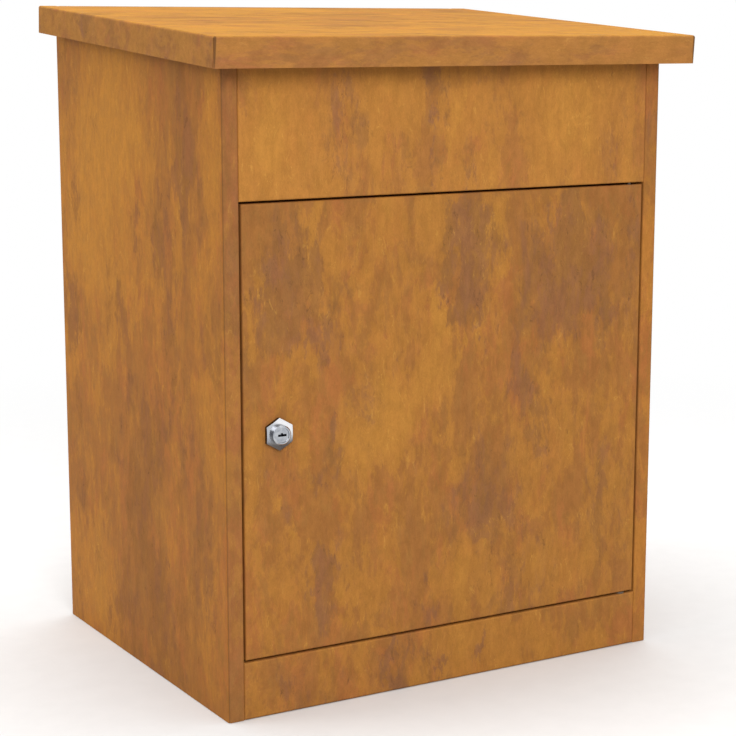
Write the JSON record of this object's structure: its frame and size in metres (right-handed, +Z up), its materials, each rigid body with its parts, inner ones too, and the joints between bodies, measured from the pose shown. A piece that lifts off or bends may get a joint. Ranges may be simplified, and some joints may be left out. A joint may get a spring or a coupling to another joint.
{
  "type": "parcel mailbox",
  "caption": "Free-standing parcel mailbox of rust-finish folded steel, with a sloping hinged lid over a drop tray, a flush front door and a cam lock.",
  "frame": {"origin": "bottom centre of the whole box, on the surface it stands on", "axes": "+Z up, -Y towards the front with the door, +X to the right seen from the front"},
  "size_m": [0.486, 0.3869, 0.6078],
  "materials": {
    "rust_coated_steel": "blotchy orange-brown rust, semi-matte",
    "rust_coated_lid": "blotchy orange-brown rust, semi-matte, lighter on top",
    "zinc_steel": "dull zinc",
    "chromed_lock": "bright chrome",
    "nylon": "brown nylon",
    "oiled_steel": "dark oiled steel",
    "black_rubber": "matt"
  },
  "bodies": {
    "cabinet": {"left_side_panel": "rust_coated_steel", "right_side_panel": "rust_coated_steel", "back_panel": "rust_coated_steel", "floor_panel": "rust_coated_steel", "upper_front_panel": "rust_coated_steel", "lower_front_panel": "rust_coated_steel", "left_tray_stop": "zinc_steel", "right_tray_stop": "zinc_steel", "lid_bumpers": "black_rubber", "door_bumpers": "black_rubber", "door_pin_top": "oiled_steel", "door_pin_bottom": "oiled_steel", "door_washer": "nylon", "hinge_fixed_leaf": "zinc_steel", "lid_hinge_pin": "zinc_steel", "hinge_rivets": "zinc_steel"},
    "door": {"door_panel": "rust_coated_steel", "door_bush_top": "nylon", "door_bush_bottom": "nylon", "lock_housing": "chromed_lock", "lock_nut": "zinc_steel"},
    "cam_lock": {"lock_plug": "chromed_lock", "lock_cam": "zinc_steel", "cam_screw": "zinc_steel"},
    "lid": {"lid_cover": "rust_coated_lid", "hinge_moving_leaf": "zinc_steel", "drop_tray": "rust_coated_steel", "tray_rivets": "zinc_steel"}
  },
  "joints": [
    {"name": "lid_hinge", "type": "hinge", "parent": "cabinet", "child": "lid", "pos_m": [0, 0.1905, 0.60478], "axis": [-1, 0, 0], "range_deg": [0, 75]},
    {"name": "door_hinge", "type": "hinge", "parent": "cabinet", "child": "door", "pos_m": [0.1958, -0.1615, 0.2485], "axis": [0, 0, 1], "range_deg": [0, 120]},
    {"name": "lock_turn", "type": "hinge", "parent": "door", "child": "cam_lock", "pos_m": [-0.1755, -0.1665, 0.2485], "axis": [0, 1, 0], "range_deg": [0, 90]}
  ]
}
